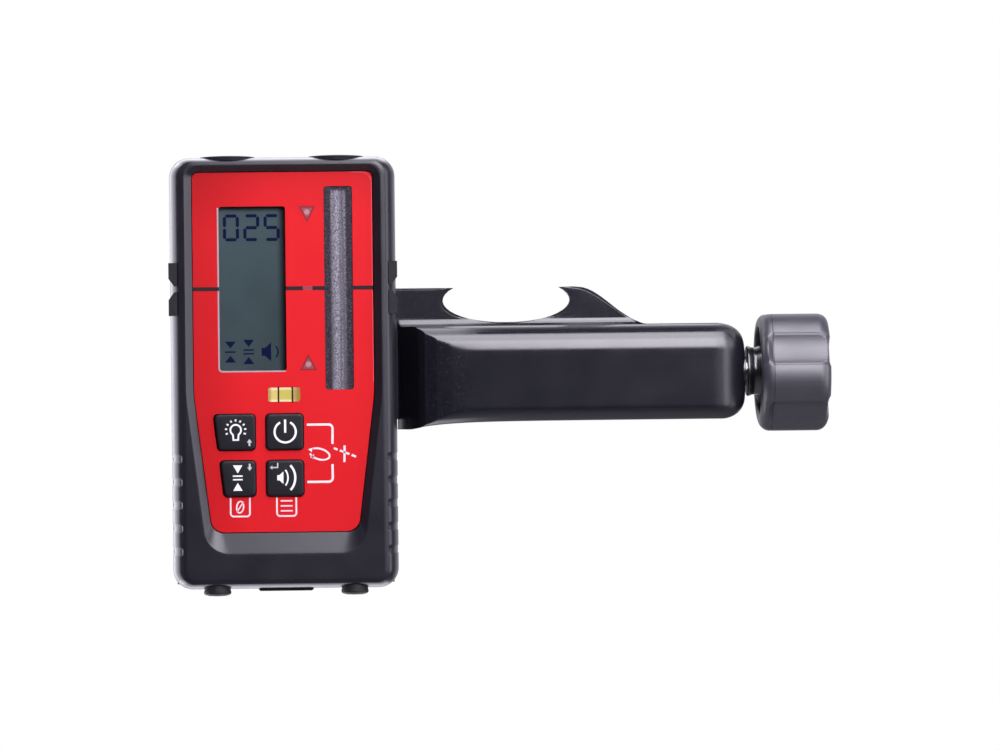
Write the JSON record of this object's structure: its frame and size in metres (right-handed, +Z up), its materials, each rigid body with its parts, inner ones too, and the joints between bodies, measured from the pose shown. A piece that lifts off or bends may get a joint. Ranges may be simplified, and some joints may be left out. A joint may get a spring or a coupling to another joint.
{
  "type": "laser receiver with rod clamp",
  "caption": "Hand-held rotary laser receiver with display, receiving window and keypad, on a screw-jaw rod clamp whose pointed notch marks the on-grade reading.",
  "frame": {"origin": "middle of the rod's front face at the height of the reading edge, on the plane that the rod bears against", "axes": "+X along the clamp arm towards the knob, +Y backwards towards the rod, +Z up along the rod; the receiver faces -Y"},
  "size_m": [0.2329, 0.066, 0.1541],
  "materials": {
    "housing_plastic": "satin moulded",
    "seal_rubber": "matt",
    "red_plate": "satin printed",
    "display_glass": "clear",
    "display_panel": "matt",
    "smoked_window": "smoked",
    "diffuser": "frosted",
    "circuit_board": "lacquered",
    "sensor_chip": "gloss",
    "indicator_lens": "translucent",
    "indicator_led": "clear",
    "vial_acrylic": "clear",
    "vial_liquid": "clear",
    "vial_bubble": "clear",
    "key_rubber": "matt",
    "switch_metal": "plain",
    "magnet_steel": "dark plated",
    "pad_rubber": "matt",
    "index_rubber": "matt",
    "door_plastic": "satin moulded",
    "bright_steel": "turned",
    "latch_plastic": "matt",
    "cell_jacket": "printed sleeve",
    "contact_metal": "plated",
    "dark_steel": "blackened",
    "insert_brass": "knurled",
    "clamp_plastic": "satin moulded, fine grain",
    "knob_plastic": "satin moulded"
  },
  "bodies": {
    "receiver_and_clamp": {"front_shell": "housing_plastic", "rear_shell": "housing_plastic", "housing_gasket": "seal_rubber", "faceplate": "red_plate", "lcd_window": "display_glass", "lcd_module": "display_panel", "receiving_window": "smoked_window", "diffuser_strip": "diffuser", "photodiode_board": "circuit_board", "photodiodes": "sensor_chip", "indicator_lenses": "indicator_lens", "indicator_leds": "indicator_led", "vial_block": "vial_acrylic", "vial_liquid": "vial_liquid", "vial_bubble": "vial_bubble", "key_switches": "switch_metal", "main_board": "circuit_board", "buzzer": "sensor_chip", "top_magnets": "magnet_steel", "rubber_feet": "pad_rubber", "index_pads": "index_rubber", "door_hinge_pin": "bright_steel", "battery_cells": "cell_jacket", "battery_contacts": "contact_metal", "housing_screws": "dark_steel", "mount_insert": "insert_brass", "clamp_body": "clamp_plastic", "fixed_jaw_pad": "pad_rubber", "spindle_bush": "insert_brass"},
    "key_backlight": {"key_backlight": "key_rubber"},
    "key_power": {"key_power": "key_rubber"},
    "key_accuracy": {"key_accuracy": "key_rubber"},
    "key_sound": {"key_sound": "key_rubber"},
    "battery_door": {"battery_door": "door_plastic"},
    "battery_latch": {"battery_latch": "latch_plastic"},
    "knob_and_spindle": {"knob": "knob_plastic", "spindle": "bright_steel", "knob_pin": "bright_steel", "thrust_washer": "bright_steel", "retaining_clip": "dark_steel"},
    "sliding_jaw": {"sliding_jaw": "clamp_plastic", "sliding_jaw_pad": "pad_rubber"},
    "clamp_screw": {"clamp_screw": "knob_plastic"}
  },
  "joints": [
    {"name": "key_backlight_press", "type": "slide", "parent": "receiver_and_clamp", "child": "key_backlight", "axis": [0, 1, 0], "range_m": [0, 0.0008], "stiffness_N_per_m": 2500},
    {"name": "key_power_press", "type": "slide", "parent": "receiver_and_clamp", "child": "key_power", "axis": [0, 1, 0], "range_m": [0, 0.0008], "stiffness_N_per_m": 2500},
    {"name": "key_accuracy_press", "type": "slide", "parent": "receiver_and_clamp", "child": "key_accuracy", "axis": [0, 1, 0], "range_m": [0, 0.0008], "stiffness_N_per_m": 2500},
    {"name": "key_sound_press", "type": "slide", "parent": "receiver_and_clamp", "child": "key_sound", "axis": [0, 1, 0], "range_m": [0, 0.0008], "stiffness_N_per_m": 2500},
    {"name": "battery_door_hinge", "type": "hinge", "parent": "receiver_and_clamp", "child": "battery_door", "pos_m": [-0.0792, -0.006, -0.062], "axis": [1, 0, 0], "range_deg": [0, 90]},
    {"name": "battery_latch_slide", "type": "slide", "parent": "battery_door", "child": "battery_latch", "axis": [0, 0, 1], "range_m": [0, 0.0015], "stiffness_N_per_m": 800, "springref_m": -0.0015},
    {"name": "knob_turn", "type": "hinge", "parent": "receiver_and_clamp", "child": "knob_and_spindle", "pos_m": [0, -0.013, -0.0305], "axis": [1, 0, 0], "range_deg": [-2700, 0]},
    {"name": "jaw_slide", "type": "slide", "parent": "receiver_and_clamp", "child": "sliding_jaw", "axis": [-1, 0, 0], "range_m": [0, 0.03]},
    {"name": "clamp_screw_turn", "type": "hinge", "parent": "receiver_and_clamp", "child": "clamp_screw", "pos_m": [-0.0792, 0, -0.023], "axis": [0, 1, 0], "range_deg": [-1080, 0]}
  ],
  "couplings": [
    {"joint": "jaw_slide", "follows": "knob_turn", "m_per_rad": -0.000636}
  ]
}
